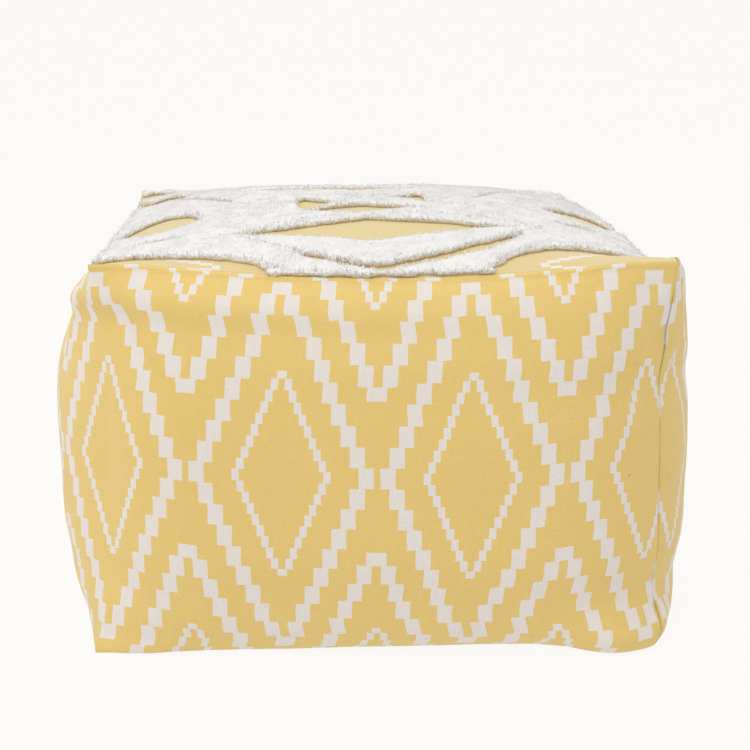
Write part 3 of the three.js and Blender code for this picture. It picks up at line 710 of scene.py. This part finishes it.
def sheet_piece(name, n, w, inset, top_fn, thick, mat, node):
    t = panel_lines(n)
    U, V = np.meshgrid(t, t, indexing="ij")
    plan = panel_plan(U, V, w) * (1 - inset / HALF)
    up = placed(np.concatenate([plan, top_fn(U, V)[..., None]], -1))
    down = up.copy()
    down[..., 2] -= thick
    m = len(t)
    n = m - 1
    verts = np.concatenate([up.reshape(-1, 3), down.reshape(-1, 3)])
    ii, jj = np.meshgrid(np.arange(n), np.arange(n), indexing="ij")
    f = np.stack([ii * m + jj, (ii + 1) * m + jj, (ii + 1) * m + jj + 1, ii * m + jj + 1], -1).reshape(-1, 4)
    edge = [(i, 0) for i in range(n)] + [(n, j) for j in range(n)] + [(i, n) for i in range(n, 0, -1)] + [(0, j) for j in range(n, 0, -1)]
    e = np.array([i * m + j for i, j in edge])
    e2 = np.roll(e, -1)
    side = np.stack([e + m * m, e2 + m * m, e2, e], -1)
    ob = mesh_object(name, verts * MM, np.concatenate([f, f[:, ::-1] + m * m, side]))
    uv = (plan * MM).reshape(-1, 2)
    set_uv(ob, "Print", np.concatenate([uv, uv]))
    ob.data.materials.append(mat)
    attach(ob, "root")
    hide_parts(node)
    return ob


def from_edge(U, V):
    return (1 - np.maximum(np.abs(U), np.abs(V))) * HALF


def top_surface(U, V):
    d = from_edge(U, V)
    z = panel_z(U, V) + 0.5 * bumps((U + 1) * HALF, (V + 1) * HALF, 42.0, 42.0, 41) * np.clip(d / 20, 0, 1)
    z += 0.25 * bumps((U + 1) * HALF, (V + 1) * HALF, 9.0, 9.0, 42) * np.exp(-d / 9) * np.clip(d / 3, 0, 1)
    return z - 0.5 * np.exp(-((d / 1.4) ** 2)) + 0.5 * np.exp(-(((d - 2.8) / 1.6) ** 2)) - 0.6 * np.exp(-(((d - 7.5) / 3.0) ** 2))


def base_surface(U, V):
    return CLOTH - 0.0 * U


top_cloth = sheet_piece("top_panel_cloth", 112, 1.0, 0.1, top_surface, CLOTH, panel_mat, "top_panel")
base_cloth = sheet_piece("base_panel_cloth", 40, 0.0, 5.0, base_surface, CLOTH, base_mat, "base_panel")


# ------------------------------------------------------------------ the pile
EDGE_IN, EDGE_ROUGH = 1.3, 1.3      # the tufts are rooted this far in from a drawn edge, which wanders this much


def reach(o, x, y):
    """Distance outside a window's outline, in mm, negative inside it."""
    cx, cy, a, front, back, power, turn = o
    least = max(a) if isinstance(a, tuple) else a
    if isinstance(a, tuple):
        a = np.where(x < cx, a[0], a[1])
    y = y - turn * (x - cx)
    b = np.where(y < cy, front, back)
    r = (np.abs((x - cx) / a) ** power + np.abs((y - cy) / b) ** power) ** (1 / power)
    return (r - 1) * np.minimum(least, b)


def outline_reach(x, y):
    """Distance inside the outline of all the pile, in mm (negative outside)."""
    d = np.minimum.reduce([HALF - table_at(INSET_LEFT, y) + x, HALF - table_at(INSET_RIGHT, y) - x, HALF - y])
    d = np.minimum(d, (2 * HALF - 17 - x - y) / 1.414)          # the far right corner is rounded off
    share = np.clip((TONGUE_HALF + 10 - np.abs(x)) / 12, 0, 1)
    over = share * (TONGUE_DROP - 0.7 + 1.5 * bumps(x, y, 7.0, 40.0, 83))
    return np.minimum(d, HALF + 2 + y + over)


def line_reach(o, widths, x, y, front):
    """Distance outside a bare line that follows one half of an outline; it fades out where it is thin."""
    w = table_at(widths, x)
    s = np.abs(reach(o, x, y) - w / 2) - w / 2 + 12 * np.clip(1.3 - w / 2, 0, 1)
    return np.where((y < o[1]) if front else (y > o[1]), s, 99.0)


def edge_reach(x, y):
    """Distance inside the pile from its nearest open edge, in mm; closed partings don't count."""
    d = outline_reach(x, y)
    for o in WINDOWS.values():
        d = np.minimum(d, reach(o, x, y))
    d = np.minimum(d, line_reach(RINGS["front"], FRONT_LINE, x, y, True))
    for o, widths in SLITS:
        d = np.minimum(d, line_reach(o, widths, x, y, False))
    return d - EDGE_IN + EDGE_ROUGH * bumps(x, y, 6.0, 6.0, 71)


def region(name, x, y):
    """Distance inside one of the tufted areas, in mm, negative outside it. x, y before the lean."""
    d = edge_reach(x, y)
    for k, o in RINGS.items():
        s = reach(o, x, y)
        if k == name:
            d = np.minimum(d, 0.25 - s)
        elif name == "field" or k != "front":
            d = np.minimum(d, s + 0.25 - PARTING)
    return d


def uv_of(x, y):
    """Where a plan position lies in the top panel's square; beyond the front seam v is under -1."""
    u, v = x / HALF, y / HALF
    for _ in range(5):
        p = panel_plan(np.clip(u, -1, 1), np.clip(v, -1, 1), 1.0)
        u = u + (x - p[..., 0] - (u - np.clip(u, -1, 1)) * HALF) / (HALF + 6)
        v = v + (y - p[..., 1] - (v - np.clip(v, -1, 1)) * HALF) / (HALF + 6)
    return u, v


def ground(x, y):
    """Height of the cloth under a plan position; beyond the front seam it is the side band's."""
    u, v = uv_of(x, y)
    z = top_surface(np.clip(u, -1, 1), np.clip(v, -1, 1))
    z = np.where(np.maximum(np.abs(u), np.abs(v)) > 0.992, panel_z(u, v), z)
    past = v < -1
    if past.any():
        s = np.clip(u[past], -1, 1)
        lo, hi = np.full(s.shape, 0.86), np.ones(s.shape)
        for _ in range(18):
            w = 0.5 * (lo + hi)
            far = -wall_point(0, s, w)[..., 1] > -y[past]
            lo, hi = np.where(far, w, lo), np.where(far, hi, w)
        z = z.copy()
        z[past] = wall_point(0, s, hi)[..., 2]
    return z


def edge_way(name, x, y):
    e = 0.5
    at = edge_reach if name is None else (lambda a, b: region(name, a, b))
    gx = (at(x + e, y) - at(x - e, y)) / (2 * e)
    gy = (at(x, y + e) - at(x, y - e)) / (2 * e)
    g = np.maximum(np.hypot(gx, gy), 1e-6)
    return gx, gy, g


def pile_height(d):
    """How high the cut pile stands this far inside an edge: the edge tufts lie over and stand lower."""
    return 3.2 + (PILE - 3.2) * np.sqrt(1 - (1 - np.clip(d / 10, 0, 1)) ** 2)


def pile_mat(name):
    """The dense foot of the pile: a low lumpy mat under the strands."""
    step = 2.4
    t = np.arange(-266.4, 266.5, step)
    X, Y = np.meshgrid(t, t, indexing="ij")
    D = region(name, X, Y)
    cell = np.maximum.reduce([D[:-1, :-1], D[1:, :-1], D[1:, 1:], D[:-1, 1:]]) > 0.2
    used = np.zeros(D.shape, bool)
    for a, b in ((0, 0), (1, 0), (1, 1), (0, 1)):
        used[a:a + cell.shape[0], b:b + cell.shape[1]] |= cell
    for _ in range(4):                       # draw outside corners in to the edge
        gx, gy, g = edge_way(name, X, Y)
        d = region(name, X, Y)
        move = used & (d < 0.3)
        g2 = np.maximum(g * g, 0.05)
        X = np.where(move, X + np.clip((0.3 - d) * gx / g2, -2, 2), X)
        Y = np.where(move, Y + np.clip((0.3 - d) * gy / g2, -2, 2), Y)
    X, Y = X[used], Y[used]
    d = np.maximum(edge_reach(X, Y), 0)
    h = pile_height(d) - (PILE - MAT) - 0.7 * np.exp(-d / 1.5)
    r = np.random.default_rng(5 + len(name))
    h = h + r.uniform(-0.4, 0.4, h.shape)
    Z = ground(X, Y)
    up = placed(np.stack([X, Y, Z + h], -1))
    down = placed(np.stack([X, Y, Z + 0.2], -1))
    ids = -np.ones(D.shape, int)
    ids[used] = np.arange(used.sum())
    n = used.sum()
    verts = np.concatenate([up, down])
    ii, jj = np.nonzero(cell)
    a, b, c, dd = ids[ii, jj], ids[ii + 1, jj], ids[ii + 1, jj + 1], ids[ii, jj + 1]
    quads = [np.stack([a, b, c, dd], -1), np.stack([dd, c, b, a], -1) + n]
    pad = np.zeros((cell.shape[0] + 2, cell.shape[1] + 2), bool)
    pad[1:-1, 1:-1] = cell
    for di, dj, p, q in ((0, -1, (0, 0), (1, 0)), (1, 0, (1, 0), (1, 1)), (0, 1, (1, 1), (0, 1)), (-1, 0, (0, 1), (0, 0))):
        m = ~pad[ii + 1 + di, jj + 1 + dj]
        i1, j1 = ii[m], jj[m]
        v1, v2 = ids[i1 + p[0], j1 + p[1]], ids[i1 + q[0], j1 + q[1]]
        quads.append(np.stack([v1 + n, v2 + n, v2, v1], -1))
    ob = mesh_object("pile_mat_" + name, verts * MM, np.concatenate(quads))
    # low: painted ochre shade, full on the mat's foot and fading in from its edges on its top
    set_float(ob, "low", np.concatenate([0.3 * np.exp(-d), np.ones(n)]))
    ob.data.materials.append(mat_mat)
    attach(ob, "root")
    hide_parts("tuft_field" if name == "field" else "tuft_ring_" + name)
    return 2 * len(np.concatenate(quads))


def strand_object(name, rings, tip, side_a, side_b, radius, tone, low=(0.15,)):
    """Tapered three-sided strands, each through its rings to its tip, joined into one mesh."""
    n, k = len(tip), len(rings)
    per = 3 * k + 1
    verts = np.empty((n, per, 3))
    for j, centre in enumerate(rings):
        for i in range(3):
            a = 2 * math.pi * i / 3
            ring = math.cos(a) * side_a + math.sin(a) * side_b
            verts[:, 3 * j + i] = centre + ring * radius[:, None] * (1 - 0.12 * j)
    verts[:, -1] = tip
    base = np.arange(n)[:, None] * per
    last = 3 * (k - 1)
    t = np.array([[last, last + 1, per - 1], [last + 1, last + 2, per - 1], [last + 2, last, per - 1]])
    tris = (base[:, :, None] + t[None]).reshape(-1, 3)
    quads = None
    if k == 2:
        q = np.array([[0, 1, 4, 3], [1, 2, 5, 4], [2, 0, 3, 5]])
        quads = (base[:, :, None] + q[None]).reshape(-1, 4)
    ob = mesh_object(name, verts.reshape(-1, 3) * MM, quads, tris)
    set_float(ob, "tone", np.repeat(tone, per))
    # low: painted ochre shade at each strand's root, none at its tip
    set_float(ob, "low", np.tile([v for v in low for _ in range(3)] + [0.0], n))
    ob.data.materials.append(strand_mat)
    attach(ob, "root")
    return len(tris) + (0 if quads is None else 2 * len(quads))


def scattered(name, pitch, near, far, seed):
    r = np.random.default_rng(seed)
    t = np.arange(-266, 266, pitch)
    X, Y = np.meshgrid(t, t, indexing="ij")
    Y = Y + (np.arange(len(t)) % 2)[:, None] * pitch / 2
    x = (X + r.uniform(-0.48, 0.48, X.shape) * pitch).ravel()
    y = (Y + r.uniform(-0.48, 0.48, X.shape) * pitch).ravel()
    d = region(name, x, y)
    keep = (d > near) & (d <= far)
    return x[keep], y[keep], d[keep], r


def across(up, r):
    a = r.uniform(0, 2 * math.pi, len(up))
    sa = np.stack([np.cos(a), np.sin(a), np.zeros(len(up))], -1)
    sb = np.cross(up, sa)
    sb /= np.linalg.norm(sb, axis=1, keepdims=True)
    return sa, sb


def lay(x, y):
    """The way the tufts lie, in patches, a little towards the front."""
    patch = lambda s1, s2, ph: np.sin(x / s1 + ph) * np.cos(y / s2 + 2 * ph)
    return (0.09 * patch(31, 23, 0.6) + 0.06 * patch(11, 9, 2.1),
            -0.10 + 0.09 * patch(27, 35, 1.7) + 0.06 * patch(9, 13, 4.0))


def in_parts(name, order_by, most, make):
    order = np.argsort(order_by, kind="stable")
    parts = max(1, math.ceil(len(order) / most))
    return sum(make(f"{name}_{i + 1}", idx) for i, idx in enumerate(np.array_split(order, parts)))


def strands(name, pitch, edge_pitch):
    # inside: short thick tufts, cut level
    x, y, d, r = scattered(name, pitch, 4.5, 1e9, 100 + len(name) * 7)
    n = len(x)
    d = edge_reach(x, y)
    lx, ly = lay(x, y)
    up = np.stack([lx + r.normal(0, 0.16, n), ly + r.normal(0, 0.16, n), np.ones(n)], -1)
    up /= np.linalg.norm(up, axis=1, keepdims=True)
    foot = pile_height(d) - (PILE - MAT) - 1.0
    root = placed(np.stack([x, y, ground(x, y) + foot], -1))
    top = pile_height(d) - 0.25 + 0.35 * bumps(x, y, 7.0, 7.0, 61) + r.uniform(-0.2, 0.45, n)
    tip = root + up * (top - foot)[:, None]
    sa, sb = across(up, r)
    radius, tone = r.uniform(0.80, 1.1, n), r.uniform(0, 1, n)
    total = in_parts("pile_strands_" + name, y, 60000,
                     lambda part, i: strand_object(part, [root[i]], tip[i], sa[i], sb[i], radius[i], tone[i]))
    # along the edges: finer strands that lean out over the bare cloth
    x, y, d, r = scattered(name, edge_pitch, 0.4, 4.5, 200 + len(name) * 7)
    n = len(x)
    gx, gy, g = edge_way(None, x, y)
    d = np.maximum(edge_reach(x, y), 0)
    near = np.exp(-d / 2.5)
    lx, ly = lay(x, y)
    dx = lx - gx / g * near * 0.65 + r.normal(0, 0.28, n)
    dy = ly - gy / g * near * 0.65 + r.normal(0, 0.28, n)
    over = (y < -(HALF + 1)) & (np.abs(x) < TONGUE_HALF + 12)
    dy = np.where(over, dy - 0.5, dy)
    up = np.stack([dx, dy, np.ones(n)], -1)
    up /= np.linalg.norm(up, axis=1, keepdims=True)
    length = pile_height(d) + 0.1 + r.uniform(-0.9, 1.1, n) + 2.2 * (r.uniform(0, 1, n) > 0.84)
    root = placed(np.stack([x, y, ground(x, y) + 0.3], -1))
    mid = root + up * (length * 0.6)[:, None]
    bend = np.stack([dx * 1.25 + r.normal(0, 0.3, n), dy * 1.25 + r.normal(0, 0.3, n), np.where(over, 0.0, 0.7)], -1)
    bend /= np.linalg.norm(bend, axis=1, keepdims=True)
    tip = mid + bend * (length * 0.4)[:, None]
    sa, sb = across(up, r)
    radius, tone = r.uniform(0.45, 0.75, n), r.uniform(1.0, 2.0, n)     # painted light: paler than the inner strands, as where light reaches their sides
    # the edge strands carry stronger painted ochre shade at their roots
    total += in_parts("pile_edge_" + name, y, 20000,
                      lambda part, i: strand_object(part, [root[i], mid[i]], tip[i], sa[i], sb[i], radius[i], tone[i], (0.6, 0.0)))
    return total


triangles = 0
for tuft in ("field", "front", "mid", "back"):
    triangles += pile_mat(tuft)
    triangles += strands(tuft, 1.45, 1.2)
print("pile triangles", triangles)
